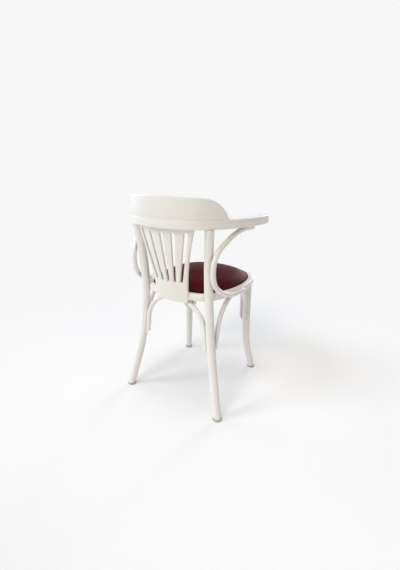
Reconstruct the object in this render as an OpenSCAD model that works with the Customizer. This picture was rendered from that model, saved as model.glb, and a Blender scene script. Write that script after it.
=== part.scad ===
/* [Overall] */
// Height of the top face of the arm rail
arm_h = 710; // [690:5:725]
// Height of the top face of the seat ring
seat_h = 451; // [436:3:463]

/* [Seat ring] */
// Width of the seat ring over its widest part
seat_w = 387; // [375:3:399]
// Depth of the seat ring, front to back
seat_d = 424; // [406:3:436]
// Distance of the back of the seat ring behind the middle of the chair
seat_back_y = 172.5; // [166.5:2:178.5]
// Width of the bent ring, outside to inside
ring_w = 44; // [38:1:48]
// Height of the bent ring
ring_h = 23; // [20:1:28]
// Radius on the outer edges of the ring
ring_edge = 5; // [3:0.5:7]
// Width of the painted face that shows round the cushion
ring_show = 21; // [17:1:24]
// Depth of the rebate that takes the seat board
rebate_d = 9; // [8:0.5:11]
// Radius of the back of the ring, as a share of an oval's of the same size
ring_back_share = 2.5; // [2.35:0.05:2.6]
// Radius of the sides of the ring, as a share of an oval's of the same size
ring_side_share = 1.432; // [1.392:0.01:1.482]

/* [Seat pad] */
// Thickness of the plywood seat board
board_t = 8; // [6:0.5:8.5]
// Diameter of the piping round the cushion
piping_d = 4.6; // [3.6:0.2:5.6]
// Height of the cushion's side
pad_side = 7; // [5:0.5:10]
// Rise of the cushion's crown above its side
pad_crown = 33; // [22:1:38]

/* [Arm rail] */
// Width over the two arms
arm_span = 487; // [475:3:499]
// Distance of the back of the rail behind the middle of the chair
rail_back_y = 251.5; // [245.5:2:257.5]
// Length of the arms, from the back of the rail to the straight end
arm_reach = 328; // [316:2:336]
// Height of the rail's section
rail_h = 30; // [26:1:34]
// Width of the rail behind the back
rail_w = 30; // [28:0.5:34]
// Width of the flat arms at their front
arm_w = 43; // [38:1:50]
// Radius on the long edges of the rail
rail_edge = 4; // [2.5:0.5:6]
// Rounding of the arms' front corners
arm_tip = 13; // [8:1:15]
// Radius of the back of the rail, as a share of the width over the arms
rail_back_share = 0.533; // [0.51:0.01:0.55]

/* [Back] */
// Height of the crest board above the arm rail
crest_h = 70; // [54:4:98]
// Thickness of the bent crest board
crest_t = 13; // [11:0.5:15]
// Width of the crest board at its foot, seen from behind
crest_w = 388; // [370:3:394]
// Radius of the crest board's shoulders, as a share of its height
crest_shoulder_share = 1.335; // [1.3:0.005:1.36]
// Thickness of the splat
splat_t = 9; // [7:0.5:10]
// Distance of the splat behind the rail's outer face
splat_inset = 17; // [15:0.5:19]
// Radius of the bent splat
splat_bend = 243; // [232:3:260]
// Width of the splat under the rail, as a share of the width over the arms
splat_top_share = 0.46; // [0.44:0.01:0.47]
// Width of the splat at its foot
splat_foot_w = 127; // [120:2:134]
// Radius of the splat's hollow sides
splat_side = 1090; // [1000:30:1300]
// Length of the splat below the ring's underside
splat_drop = 14; // [8:1:17]
// Width of the slots at the top
slot_top_w = 14; // [11:0.5:15]
// Width of the slots at the bottom
slot_foot_w = 9.5; // [7:0.5:11]
// Spacing of the slots at the top, as a share of the splat's width there
slot_top_share = 0.19; // [0.18:0.002:0.194]
// Spacing of the slots at the bottom, as a share of the width of the splat's foot
slot_foot_share = 0.197; // [0.179:0.002:0.203]
// Wood left between the slots and the rail
slot_top_gap = 15; // [11:1:20]
// Height of the slots' lower ends above the ring
slot_foot_gap = 39; // [30:1:50]

/* [Legs] */
// Diameter of the rear legs
rear_leg_d = 31; // [28:0.5:33]
// Diameter of the rear legs at the floor
rear_foot_d = 29; // [26:0.5:31]
// Distance of each rear foot from the middle
rear_foot_x = 206; // [199:2:213]
// Distance of the rear feet behind the middle
rear_foot_y = 186.5; // [179.5:2:193.5]
// Height of the knee of the rear legs below the seat
rear_knee_drop = 56; // [41:3:71]
// Distance of that knee inside the ring's outer edge
rear_knee_in = 19.5; // [18:0.5:22]
// Diameter of the front legs under the seat
front_leg_d = 36; // [32:1:38]
// Diameter of the front legs at the bend
front_bend_d = 29.5; // [27:0.5:31]
// Diameter of the front legs at the floor
front_foot_d = 28; // [25:0.5:29]
// Distance of each front foot from the middle
front_foot_x = 173; // [167:2:179]
// Distance of the front feet in front of the middle
front_foot_y = 208.5; // [202.5:2:214.5]
// Height of the bend in the front legs
front_knee_h = 138; // [120:3:156]
// Bend radius of the front legs
front_bend = 500; // [380:20:560]
// Distance of the front legs' tops inside the ring's outer edge
front_leg_in = 18.5; // [17.5:0.5:21]
// Diameter of the foot glides
glide_d = 33; // [31:0.5:35]
// Height of the foot glides
glide_h = 6; // [4:0.5:8]

/* [Bent braces] */
// Diameter of the arches under the seat
arch_d = 17.5; // [15:0.5:19]
// Height of the arches' screwed ends above the floor
arch_foot_h = 242; // [230:2:254]
// Bend radius of the rear and front arches
arch_bend = 113; // [100:1:116]
// Bend radius of the side arches
side_arch_bend = 118; // [104:1:124]
// Inward lean of the arches' sides
arch_lean = 0.11; // [0.09:0.01:0.14]
// Inward lean of the side arches' sides
side_arch_lean = 0.21; // [0.17:0.01:0.24]
// Diameter of the arm braces
brace_d = 18; // [16:0.5:19]
// Distance of the arm braces from the rear legs
brace_gap = 9; // [3:0.5:11]
// Distance of the braces' top ends in front of the middle
brace_top_y = 11.5; // [1.5:2:21.5]

/* [Screws and dowels] */
// Diameter of the screws' shanks
screw_d = 4; // [3.5:0.25:4.5]
// Diameter of the screws' heads
screw_head_d = 7.5; // [6.5:0.25:8]
// Diameter of the wooden dowels
dowel_d = 8; // [6:0.5:8.5]
// Diameter of the round tenons on the legs
tenon_d = 18; // [15:0.5:19]

/* [Hidden] */
$fn = 64;
// clearance all round a pin, a tenon or a screw
fit = 0.15;
// overrun of every cut beyond the face it opens
over = 2;
// how deep a round rod is flattened where it is screwed on
flat = 2;
// each bend runs this far into the straight lengths it joins, thinner by the seam
lap = 1;
seam = 0.04;

// Angles turned by the ring's outline at the end of each of its arcs
ring_a = [0, 11, 61.2, 103.4, 157.3, 180];
// Angles turned by the rail's outline at the end of each of its arcs
rail_a = [0, 19.2, 49.8, 93.7];

function unit(v) = v / norm(v);
function outward(a) = [sin(a), cos(a)];
function onward(a) = [cos(a), -sin(a)];
function lift(p, z) = [p.x, p.y, z];
function turn_of(length, r) = length / r * 180 / PI;

// What one arc adds to the way sideways and to the way forward, per unit of radius
function side_of(a, i) = sin(a[i + 1]) - sin(a[i]);
function fore_of(a, i) = cos(a[i]) - cos(a[i + 1]);
function side_sum(r, a, i = 0) = i == len(r) ? 0 : r[i] * side_of(a, i) + side_sum(r, a, i + 1);
function fore_sum(r, a, i = 0) = i == len(r) ? 0 : r[i] * fore_of(a, i) + fore_sum(r, a, i + 1);

// The last two radii of an outline that ends at the given place
function last_two(r, a, side, fore) =
    let (n = len(r), s1 = side_of(a, n), s2 = side_of(a, n + 1))
    let (f1 = fore_of(a, n), f2 = fore_of(a, n + 1), det = s1 * f2 - s2 * f1)
    let (ds = side - side_sum(r, a), df = fore - fore_sum(r, a))
    [(ds * f2 - s2 * df) / det, (s1 * df - ds * f1) / det];

// The ring's back and sides keep to an oval's radii, and its back corners make up the width
ring_back_r = ring_back_share * seat_w * seat_w / (2 * seat_d);
ring_side_r = ring_side_share * seat_d * seat_d / (2 * seat_w);
ring_side_half = ring_back_r * side_of(ring_a, 0) + ring_side_r * (1 - sin(ring_a[2]));
ring_corner_r = (seat_w / 2 - ring_side_half) / side_of(ring_a, 1);
ring_first = [ring_back_r, ring_corner_r, ring_side_r];
ring_line = [concat(ring_first, last_two(ring_first, ring_a, 0, seat_d)), ring_a, seat_back_y];

// The rail's back is an arc of its own, and the next two arcs reach the arms' width and length
rail_back_r = rail_back_share * arm_span;
rail_rest = last_two([rail_back_r], rail_a, arm_span / 2, arm_reach);
rail_line = [concat([rail_back_r], rail_rest), rail_a, rail_back_y];

// Places on an outline, by the angle it has turned and a distance outward
function arc_centre(line, i) =
    i == 0 ? [0, line[2] - line[0][0]]
    : arc_centre(line, i - 1) + (line[0][i - 1] - line[0][i]) * outward(line[1][i]);
function arc_at(line, a, i = 0) =
    i == len(line[0]) - 1 || a <= line[1][i + 1] ? i : arc_at(line, a, i + 1);
function at_turn(line, a, off = 0) =
    let (i = arc_at(line, a)) arc_centre(line, i) + (line[0][i] + off) * outward(a);

// Heights that several pieces share
rail_low = arm_h - rail_h;
ring_low = seat_h - ring_h;
ring_mid = seat_h - ring_h / 2;
rebate_z = seat_h - rebate_d;
board_top = rebate_z + board_t;
seat_front_y = seat_back_y - seat_d;

// Bent rods: straight lengths between corners, each corner rounded to a bend radius
function corner_turn(p, i) = acos(unit(p[i] - p[i - 1]) * unit(p[i + 1] - p[i]));
function corner_run(p, r, i) = r[i - 1] * tan(corner_turn(p, i) / 2);
function bend_in(p, r, i) = p[i] - unit(p[i] - p[i - 1]) * corner_run(p, r, i);
function bend_out(p, r, i) = p[i] + unit(p[i + 1] - p[i]) * corner_run(p, r, i);
function bend_side(p, i) =
    let (u = unit(p[i] - p[i - 1]), v = unit(p[i + 1] - p[i])) unit(v - (u * v) * u);
function bend_point(p, r, i, share) =
    let (a = share * corner_turn(p, i), n = bend_side(p, i), u = unit(p[i] - p[i - 1]))
    bend_in(p, r, i) + r[i - 1] * ((1 - cos(a)) * n + sin(a) * u);

module rod(from, to, d1, d2) {
    way = to - from;
    translate(from)
        rotate([0, acos(way.z / norm(way)), atan2(way.y, way.x)])
            rotate(90)
                cylinder(h = norm(way), d1 = d1, d2 = d2);
}

module bend(p, r, i, d) {
    side = -bend_side(p, i);
    ahead = unit(p[i] - p[i - 1]);
    up = cross(side, ahead);
    mid = bend_in(p, r, i) - r[i - 1] * side;
    lap_turn = turn_of(lap, r[i - 1]);
    multmatrix([
        [side.x, ahead.x, up.x, mid.x],
        [side.y, ahead.y, up.y, mid.y],
        [side.z, ahead.z, up.z, mid.z],
        [0, 0, 0, 1]
    ])
        rotate(-lap_turn)
            rotate_extrude(angle = corner_turn(p, i) + 2 * lap_turn)
                translate([r[i - 1], 0])
                    circle(d = d - 2 * seam);
}

module bent_rod(p, r, d, first_d, last_d) {
    n = len(p) - 1;
    for (i = [0 : n - 1]) {
        from = i == 0 ? p[0] : bend_out(p, r, i);
        to = i == n - 1 ? p[n] : bend_in(p, r, i + 1);
        rod(from, to, i == 0 ? first_d : d, i == n - 1 ? last_d : d);
    }
    for (i = [1 : n - 1])
        bend(p, r, i, d);
}

// Bands that follow an outline: every second arc is the thinner one and laps into its neighbours
module arc_band(line, i, from, to) {
    odd = i % 2 == 1;
    lap_turn = odd ? turn_of(lap, line[0][i]) : 0;
    $thin = odd ? seam : 0;
    translate(arc_centre(line, i))
        rotate(90 - to - lap_turn)
            rotate_extrude(angle = to - from + 2 * lap_turn)
                translate([line[0][i], 0])
                    children();
}

module band(line) {
    last = len(line[0]) - 1;
    closed = line[1][last + 1] == 180;
    arc_band(line, 0, -line[1][1], line[1][1])
        children();
    if (closed)
        arc_band(line, last, line[1][last], 360 - line[1][last])
            children();
    both_sides()
        for (i = [1 : closed ? last - 1 : last])
            arc_band(line, i, line[1][i], line[1][i + 1])
                children();
}

module both_sides() {
    children();
    mirror([1, 0, 0])
        children();
}

// A countersunk screw that goes in at a place along a direction; its bore opens outward
module screw(at, way, length, gap) {
    head_h = screw_head_d / 2;
    rod(at, at + way * head_h, screw_head_d + 2 * gap, screw_d + 2 * gap);
    rod(at, at + way * (length + gap), screw_d + 2 * gap, screw_d + 2 * gap);
    if (gap > 0)
        rod(at - way * over, at, screw_head_d + 2 * gap, screw_head_d + 2 * gap);
}

// Rear legs: one bent rod from the floor to the rail
rear_leg_angle = 40.6;
upright_angle = 50.5;
upright_in = rail_w / 2;
rear_foot = [rear_foot_x, rear_foot_y, 0];
rear_knee = lift(at_turn(ring_line, rear_leg_angle, -rear_knee_in), seat_h - rear_knee_drop);
rear_top = lift(at_turn(rail_line, upright_angle, -upright_in), rail_low);
rear_bend_share = 0.9;
rear_turn = acos(unit(rear_knee - rear_foot) * unit(rear_top - rear_knee));
rear_bend = rear_bend_share * norm(rear_top - rear_knee) / tan(rear_turn / 2);
rear_up = unit(rear_top - rear_knee);
rear_path = [rear_foot, rear_knee, rear_top + rear_up * rear_leg_d];
tenon_h = 16;

// The leg's middle line at a height, looked up from points along it
rear_curve = [for (k = [0 : 0.05 : 1]) bend_point(rear_path, [rear_bend], 1, k)];
rear_middle = concat([rear_foot], rear_curve, [rear_top]);
function rear_leg_at(z) =
    [lookup(z, [for (q = rear_middle) [q.z, q.x]]), lookup(z, [for (q = rear_middle) [q.z, q.y]]), z];

module rear_leg_rod(gap) {
    bent_rod(rear_path, [rear_bend], rear_leg_d + 2 * gap, rear_foot_d + 2 * gap, rear_leg_d + 2 * gap);
}

module tenon(at, way, length, gap) {
    rod(at - over * way, at + (length + gap) * way, tenon_d + 2 * gap, tenon_d + 2 * gap);
}

module rear_tenon(gap) {
    tenon(rear_top, rear_up, tenon_h, gap);
}

module rear_leg() {
    difference() {
        rear_leg_rod(0);
        translate([-rear_foot_x, 0, -glide_d])
            cube([3 * rear_foot_x, 3 * rear_foot_x, glide_d + glide_h]);
        translate([-rear_foot_x, -rear_foot_x, rail_low])
            cube([3 * rear_foot_x, 3 * rear_foot_x, 2 * rear_leg_d]);
        glide_pin(rear_glide, fit);
        leg_bolt(fit);
        rear_arch_screw(fit);
        side_arch_rear_screw(fit);
    }
    rear_tenon(0);
}

// Front legs: tapered, bent outward near the floor, tenoned into the ring
front_leg_angle = 125.3;
front_knee_share = 0.22;
front_top = lift(at_turn(ring_line, front_leg_angle, -front_leg_in), ring_low);
front_foot = [front_foot_x, -front_foot_y, 0];
front_knee = lift(front_top + front_knee_share * (front_foot - front_top), front_knee_h);
front_path = [front_foot, front_knee, front_top];
front_tenon_h = 12;

function above_knee(z) = (z - front_knee_h) / (ring_low - front_knee_h);
function front_leg_at(z) = lift(front_knee + above_knee(z) * (front_top - front_knee), z);
function front_leg_r_at(z) = (front_bend_d + (front_leg_d - front_bend_d) * above_knee(z)) / 2;

module front_leg_rod(gap) {
    more = 2 * gap;
    bent_rod(front_path, [front_bend], front_bend_d + more, front_foot_d + more, front_leg_d + more);
}

module front_leg() {
    difference() {
        front_leg_rod(0);
        translate([0, -2 * front_foot_y, -glide_d])
            cube([2 * front_foot_x, 2 * front_foot_y, glide_d + glide_h]);
        translate([0, -2 * front_foot_y, ring_low])
            cube([2 * front_foot_x, 2 * front_foot_y, front_leg_d]);
        glide_pin(front_glide, fit);
        front_arch_screw(fit);
        side_arch_front_screw(fit);
    }
    front_tenon(0);
}

module front_tenon(gap) {
    tenon(front_top, [0, 0, 1], front_tenon_h, gap);
}

// Foot glides: a disc under each leg with a pin driven up into the wood
glide_pin_d = 4;
glide_pin_h = 14;
rear_glide = lift(rear_foot + (rear_knee - rear_foot) * glide_h / rear_knee.z, 0);
front_glide = lift(front_foot + (front_knee - front_foot) * glide_h / front_knee.z, 0);

module glide_pin(at, gap) {
    translate([at.x, at.y, glide_h - over])
        cylinder(h = glide_pin_h + over + gap, d = glide_pin_d + 2 * gap);
}

module glide(at) {
    edge = glide_h / 4;
    translate(at)
        cylinder(h = edge, d1 = glide_d - 2 * edge, d2 = glide_d);
    translate([at.x, at.y, edge])
        cylinder(h = glide_h - edge, d = glide_d);
    glide_pin(at, 0);
}

// Seat ring: bent wood, rebated for the seat board, housed for the legs and the splat
module ring_section(thin) {
    e = ring_edge;
    low = [for (t = [-90 : 15 : 0]) [-thin - e + e * cos(t), ring_low + thin + e + e * sin(t)]];
    high = [for (t = [0 : 15 : 90]) [-thin - e + e * cos(t), seat_h - thin - e + e * sin(t)]];
    rebate = [
        [-ring_show + thin, seat_h - thin],
        [-ring_show + thin, rebate_z - thin],
        [-ring_w + thin, rebate_z - thin],
        [-ring_w + thin, ring_low + thin]
    ];
    polygon(concat(low, high, rebate));
}

module seat_ring() {
    difference() {
        band(ring_line)
            ring_section($thin);
        both_sides() {
            rear_leg_rod(fit);
            front_tenon(fit);
            leg_bolt(fit);
            board_screws_half(fit);
            brace_low_screw(fit);
        }
        splat_board(fit);
        splat_dowels(fit);
        arch_ring_screws(fit);
    }
}

// Seat board: plywood lying in the ring's rebate
board_in = ring_show + 2 * fit;

module seat_board() {
    right = [for (a = [0 : 3.75 : 180]) at_turn(ring_line, a, -board_in)];
    left = [for (i = [len(right) - 2 : -1 : 1]) [-right[i].x, right[i].y]];
    difference() {
        translate([0, 0, rebate_z])
            linear_extrude(board_t)
                polygon(concat(right, left));
        both_sides()
            board_screws_half(fit);
    }
}

// Piping: a round cord of leather along the cushion's edge
module seat_piping() {
    band(ring_line)
        translate([-board_in - piping_d / 2, board_top + piping_d / 2])
            circle(d = piping_d - 2 * $thin);
}

// Cushion: a crowned, closed pad whose side pulls in at its foot
pad_in = board_in + piping_d + 2 * fit;
pad_points = 32;
pad_centre = [0, seat_back_y - seat_d / 2];
// Its side, from the foot up: share of the outline, share of the side's height
pad_side_shares = [[0.985, 0], [1, 0.35]];
// Its crown, from the rim to the middle: shares of the outline
pad_crown_shares = [0.995, 0.97, 0.92, 0.84, 0.72, 0.56, 0.38, 0.18];
pad_crown_power = 4.6;

function pad_rise(share) = pad_side + pad_crown * (1 - pow(share, pad_crown_power));
function pad_ring(share, rise) =
    [for (q = pad_line) lift(pad_centre + share * (q - pad_centre), board_top + rise)];
pad_half = [for (k = [0 : pad_points]) at_turn(ring_line, 180 * k / pad_points, -pad_in)];
pad_line = concat(pad_half, [for (k = [pad_points - 1 : -1 : 1]) [-pad_half[k].x, pad_half[k].y]]);
pad_rings = concat(
    [for (s = pad_side_shares) pad_ring(s[0], s[1] * pad_side)],
    [for (s = pad_crown_shares) pad_ring(s, pad_rise(s))]
);

// The wall of four-sided faces between rings of points, each ring of n
function wall_faces(rings, n) =
    [for (j = [0 : rings - 2], k = [0 : n - 1])
        let (a = j * n, b = (j + 1) * n, next = (k + 1) % n) [a + k, a + next, b + next, b + k]];

module seat_cushion() {
    n = len(pad_line);
    m = len(pad_rings);
    top = lift(pad_centre, board_top + pad_rise(0));
    points = concat([for (ring = pad_rings) each ring], [top]);
    foot = [[for (k = [0 : n - 1]) n - 1 - k]];
    roof = [for (k = [0 : n - 1]) [(m - 1) * n + k, (m - 1) * n + (k + 1) % n, m * n]];
    polyhedron(points, concat(foot, wall_faces(m, n), roof));
}

// Arm rail: one bent piece, swept along its outline and widened into flat arms
rail_points = 26;
rail_angles = [for (k = [-rail_points : rail_points]) rail_a[3] * k / rail_points];

function rail_place(a) = let (q = at_turn(rail_line, abs(a))) [a < 0 ? -q.x : q.x, q.y];
function rail_normal(a) = let (v = outward(abs(a))) [a < 0 ? -v.x : v.x, v.y];
function rail_share(a) = min(1, max(0, (abs(a) - rail_a[1]) / (rail_a[3] - rail_a[1])));
function soft(k) = k * k * (3 - 2 * k);
function rail_width(a) = rail_w + (arm_w - rail_w) * soft(rail_share(a));

// The rail's section where it has turned by an angle, drawn in by a pull on both sides
function rail_corners(out, in) = [
    [out, arm_h - rail_edge, 0],
    [in, arm_h - rail_edge, 90],
    [in, rail_low + rail_edge, 180],
    [out, rail_low + rail_edge, 270]
];
function rail_station(a, pull) =
    let (q = rail_place(a), v = rail_normal(a), in = pull + rail_edge - rail_width(a))
    [for (s = rail_corners(-pull - rail_edge, in), t = [0 : 30 : 90])
        lift(q + (s[0] + rail_edge * cos(s[2] + t)) * v, s[1] + rail_edge * sin(s[2] + t))];

// The arms' rounded ends: each share of the tip moves on and draws in
tip_shares = [0.3, 0.6, 0.85, 1];
tip_round_share = 0.8;
function tip_station(side, share) =
    let (go = arm_tip * sin(90 * share), pull = tip_round_share * arm_tip * (1 - cos(90 * share)))
    let (way = onward(rail_a[3]))
    [for (q = rail_station(side * rail_a[3], pull)) q + go * [side * way.x, way.y, 0]];
rail_stations = concat(
    [for (k = [len(tip_shares) - 1 : -1 : 0]) tip_station(-1, tip_shares[k])],
    [for (a = rail_angles) rail_station(a, 0)],
    [for (s = tip_shares) tip_station(1, s)]
);

module rail_body() {
    n = len(rail_stations[0]);
    m = len(rail_stations);
    points = [for (ring = rail_stations) each ring];
    first = [[for (k = [0 : n - 1]) k]];
    last = [[for (k = [n - 1 : -1 : 0]) (m - 1) * n + k]];
    wall = [for (f = wall_faces(m, n)) [f[3], f[2], f[1], f[0]]];
    polyhedron(points, concat(first, last, wall));
}

module arm_rail() {
    difference() {
        rail_body();
        both_sides() {
            rear_tenon(fit);
            brace_top_screw(fit);
        }
        crest_dowels(fit);
        splat_board(fit);
    }
}

// Crest rail: a thin bent board standing on the rail, flush with its back
crest_angle = 78;
crest_line = [rail_line[0], [0, rail_a[1], rail_a[2], crest_angle], rail_back_y];

// Its shoulders are arcs round centres below the rail's top, and its top edge is an arc between them
crest_sink_share = 0.43;
crest_square_angle = 8;
crest_shoulder_r = crest_shoulder_share * crest_h;
crest_sink = crest_sink_share * crest_h;
crest_in = sqrt(crest_shoulder_r * crest_shoulder_r - crest_sink * crest_sink);
crest_foot_angle = asin((crest_w / 2 - arc_centre(rail_line, 2).x) / rail_line[0][2]);
crest_foot = at_turn(rail_line, crest_foot_angle);

// Lengths along the bent face, from its middle to the second arc, the foot and the shoulder's centre
function arc_length(r, angle) = r * angle * PI / 180;
rail_back_l = arc_length(rail_back_r, rail_a[1]);
rail_corner_l = arc_length(rail_rest[0], rail_a[2] - rail_a[1]);
crest_half_l = rail_back_l + rail_corner_l + arc_length(rail_rest[1], crest_foot_angle - rail_a[2]);
crest_shoulder_l = crest_half_l - crest_in;

// The slope where the top edge meets the shoulder, and that place's drop below the crest's middle
crest_rise = crest_h + crest_sink;
crest_flat_r = (pow(crest_shoulder_l, 2) + pow(crest_rise, 2) - pow(crest_shoulder_r, 2))
    / (2 * (crest_rise - crest_shoulder_r));
crest_slope = asin(crest_shoulder_l / (crest_flat_r - crest_shoulder_r));
crest_meet_l = crest_shoulder_l + crest_shoulder_r * sin(crest_slope);
crest_meet_x = at_turn(rail_line, rail_a[1] + turn_of(crest_meet_l - rail_back_l, rail_rest[0])).x;
crest_drop = crest_rise - crest_shoulder_r * cos(crest_slope);
crest_top_r = (crest_meet_x * crest_meet_x + crest_drop * crest_drop) / (2 * crest_drop);

// Seen from behind: all that lies under the top edge's arc
module crest_top_shape() {
    intersection() {
        translate([0, arm_h + crest_h - crest_top_r])
            circle(r = crest_top_r, $fn = 360);
        translate([-crest_w, arm_h])
            square([2 * crest_w, 2 * crest_h]);
    }
}

// Seen square on to a shoulder, from its foot: the shoulder's arc and the slope that leads up to it
module crest_shoulder_shape() {
    middle = [-crest_in, arm_h - crest_sink];
    meet = middle + (crest_shoulder_r - seam) * [sin(crest_slope), cos(crest_slope)];
    far = meet + 2 * crest_half_l * [-cos(crest_slope), sin(crest_slope)];
    translate(middle)
        circle(r = crest_shoulder_r, $fn = 160);
    polygon([meet, far, [far.x, middle.y], middle]);
}

module crest_shoulder() {
    translate(crest_foot)
        rotate(crest_square_angle - crest_foot_angle)
            rotate([90, 0, 0])
                translate([0, 0, -crest_w])
                    linear_extrude(2 * crest_w)
                        crest_shoulder_shape();
}

module crest_rail() {
    difference() {
        intersection() {
            band(crest_line)
                translate([-crest_t + $thin, arm_h - over])
                    square([crest_t - 2 * $thin, crest_h + 2 * over]);
            translate([0, 2 * rail_back_y, 0])
                rotate([90, 0, 0])
                    linear_extrude(3 * rail_back_y)
                        crest_top_shape();
            crest_shoulder();
            mirror([1, 0, 0])
                crest_shoulder();
        }
        crest_dowels(fit);
    }
}

// Dowels that hold the crest to the rail
crest_dowel_angles = [-56, -34, -12, 12, 34, 56];
crest_dowel_depth = 18;

module crest_dowels(gap) {
    for (a = crest_dowel_angles) {
        q = rail_place(a) - rail_normal(a) * crest_t / 2;
        translate([q.x, q.y, arm_h - crest_dowel_depth - gap])
            cylinder(h = 2 * (crest_dowel_depth + gap), d = dowel_d + 2 * gap);
    }
}

// Back splat: a slotted, bent board that leans from the ring back into the rail
splat_let_in = 1;
splat_groove = 7;
splat_corner = 8;
splat_low = ring_low - splat_drop;
splat_foot_y = seat_back_y - splat_let_in + splat_t;
splat_head_y = rail_back_y - splat_inset;
splat_tilt = atan((splat_head_y - splat_foot_y) / (rail_low - ring_mid));

// Where a height above the floor lies along the leaning board
function along_splat(z) = (z - ring_mid) / cos(splat_tilt);

module on_splat() {
    translate([0, splat_foot_y, ring_mid])
        rotate([-splat_tilt, 0, 0])
            children();
}

// Pushes a flat shape through the leaning board, front to back
module through_splat() {
    on_splat()
        rotate([90, 0, 0])
            translate([0, 0, -splat_bend / 2])
                linear_extrude(splat_bend)
                    children();
}

// The board's hollow side is an arc from its foot up to the rail
splat_top_w = splat_top_share * arm_span;
splat_head_point = [splat_top_w / 2, along_splat(rail_low)];
splat_foot_point = [splat_foot_w / 2, along_splat(splat_low)];
splat_way = unit(splat_head_point - splat_foot_point);
splat_half = norm(splat_head_point - splat_foot_point) / 2;
splat_out = sqrt(splat_side * splat_side - splat_half * splat_half);
splat_mid = (splat_head_point + splat_foot_point) / 2 + splat_out * [splat_way.y, -splat_way.x];

function splat_edge(y, gap) =
    let (up = y - splat_mid.y) [splat_mid.x - sqrt(splat_side * splat_side - up * up) + gap, y];

module splat_shape(gap) {
    start = splat_foot_point.y + splat_corner;
    head = along_splat(rail_low + splat_groove) + gap;
    side = [for (k = [0 : 12]) splat_edge(start + (head - start) * k / 12, gap)];
    round_mid = [side[0].x - splat_corner, side[0].y];
    corner = [for (t = [-90 : 15 : -15]) round_mid + splat_corner * [cos(t), sin(t)]];
    right = concat(corner, side);
    left = [for (i = [len(right) - 1 : -1 : 0]) [-right[i].x, right[i].y]];
    polygon(concat(right, left));
}

// A slot: two round ends and the tapered length between them
module slot_shape(k) {
    top_r = slot_top_w / 2;
    foot_r = slot_foot_w / 2;
    top = [k * slot_top_share * splat_top_w, along_splat(rail_low - slot_top_gap) - top_r];
    foot = [k * slot_foot_share * splat_foot_w, along_splat(seat_h + slot_foot_gap) + foot_r];
    way = atan2(top.y - foot.y, top.x - foot.x);
    swing = acos((foot_r - top_r) / norm(top - foot));
    one = [cos(way + swing), sin(way + swing)];
    other = [cos(way - swing), sin(way - swing)];
    top_in = top_r - seam;
    foot_in = foot_r - seam;
    translate(top)
        circle(r = top_r);
    translate(foot)
        circle(r = foot_r);
    polygon([top + top_in * one, foot + foot_in * one, foot + foot_in * other, top + top_in * other]);
}

module splat_board(gap) {
    low = along_splat(splat_low) - over;
    height = along_splat(arm_h) - low;
    intersection() {
        on_splat()
            translate([0, -splat_bend, low])
                difference() {
                    cylinder(h = height, r = splat_bend + gap, $fn = 360);
                    translate([0, 0, -over])
                        cylinder(h = height + 2 * over, r = splat_bend - splat_t - gap, $fn = 360);
                }
        through_splat()
            splat_shape(gap);
    }
}

module back_splat() {
    difference() {
        splat_board(0);
        through_splat()
            for (k = [-2 : 2])
                slot_shape(k);
        splat_dowels(fit);
    }
}

// Dowels that pin the splat's foot to the ring
splat_dowel_x_share = 0.3;
splat_dowel_in_share = 0.55;
splat_dowel_l_share = 0.5;
splat_dowel_x = splat_dowel_x_share * splat_foot_w;
splat_dowel_in = splat_dowel_in_share * splat_t;
splat_dowel_l = splat_dowel_l_share * ring_w;
splat_dowel_y = splat_foot_y - splat_t - splat_dowel_x * splat_dowel_x / (2 * splat_bend) + splat_dowel_in;

module splat_dowels(gap) {
    for (side = [-1, 1])
        translate([side * splat_dowel_x, splat_dowel_y + gap, (ring_low + rebate_z) / 2])
            rotate([90, 0, 0])
                cylinder(h = splat_dowel_l + 2 * gap, d = dowel_d + 2 * gap);
}

// Bolts from inside the ring into the rear legs
leg_bolt_l = ring_w + rear_leg_d / 2;

module leg_bolt(gap) {
    at = lift(at_turn(ring_line, rear_leg_angle, -ring_w), (ring_low + rebate_z) / 2);
    screw(at, lift(outward(rear_leg_angle), 0), leg_bolt_l, gap);
}

// Screws that hold the seat board down in the rebate
board_screw_angles = [22, 62, 105, 160];

module board_screws_half(gap) {
    for (a = board_screw_angles) {
        at = at_turn(ring_line, a, -(board_in + ring_w) / 2);
        screw(lift(at, board_top), [0, 0, -1], rebate_d + board_t, gap);
    }
}

// Arches: bent rods under the seat, screwed to two legs and up into the ring
arch_r = arch_d / 2;
arch_top_z = ring_low - arch_r + flat / 2;
arch_rise = arch_top_z - arch_foot_h;
arch_cut_angle = 35;
rear_arch_in = 20;
front_arch_in = 38;
side_arch_in = 34;
side_arch_angle = 86;

rear_arch_leg = rear_leg_at(arch_foot_h);
rear_arch_x = rear_arch_leg.x - rear_leg_d / 2 - arch_r + flat;
rear_arch_end = [rear_arch_x, rear_arch_leg.y, arch_foot_h];
rear_arch_corner = [rear_arch_x - arch_lean * arch_rise, seat_back_y - rear_arch_in, arch_top_z];

front_arch_leg = front_leg_at(arch_foot_h);
front_arch_leg_r = front_leg_r_at(arch_foot_h);
front_arch_x = front_arch_leg.x - front_arch_leg_r - arch_r + flat;
front_arch_end = [front_arch_x, front_arch_leg.y, arch_foot_h];
front_arch_corner = [front_arch_x - arch_lean * arch_rise, seat_front_y + front_arch_in, arch_top_z];

side_arch_x = at_turn(ring_line, side_arch_angle, -side_arch_in).x;
side_lean = side_arch_lean * arch_rise;
side_rear_end = [rear_arch_leg.x, rear_arch_leg.y - rear_leg_d / 2 - arch_r + flat, arch_foot_h];
side_rear_corner = [side_arch_x, side_rear_end.y - side_lean, arch_top_z];
side_front_end = [front_arch_leg.x, front_arch_leg.y + front_arch_leg_r + arch_r - flat, arch_foot_h];
side_front_corner = [side_arch_x, side_front_end.y + side_lean, arch_top_z];

function flip(p) = [-p.x, p.y, p.z];

module arch(p, r) {
    bent_rod(p, [r, r], arch_d, arch_d, arch_d);
}

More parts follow.
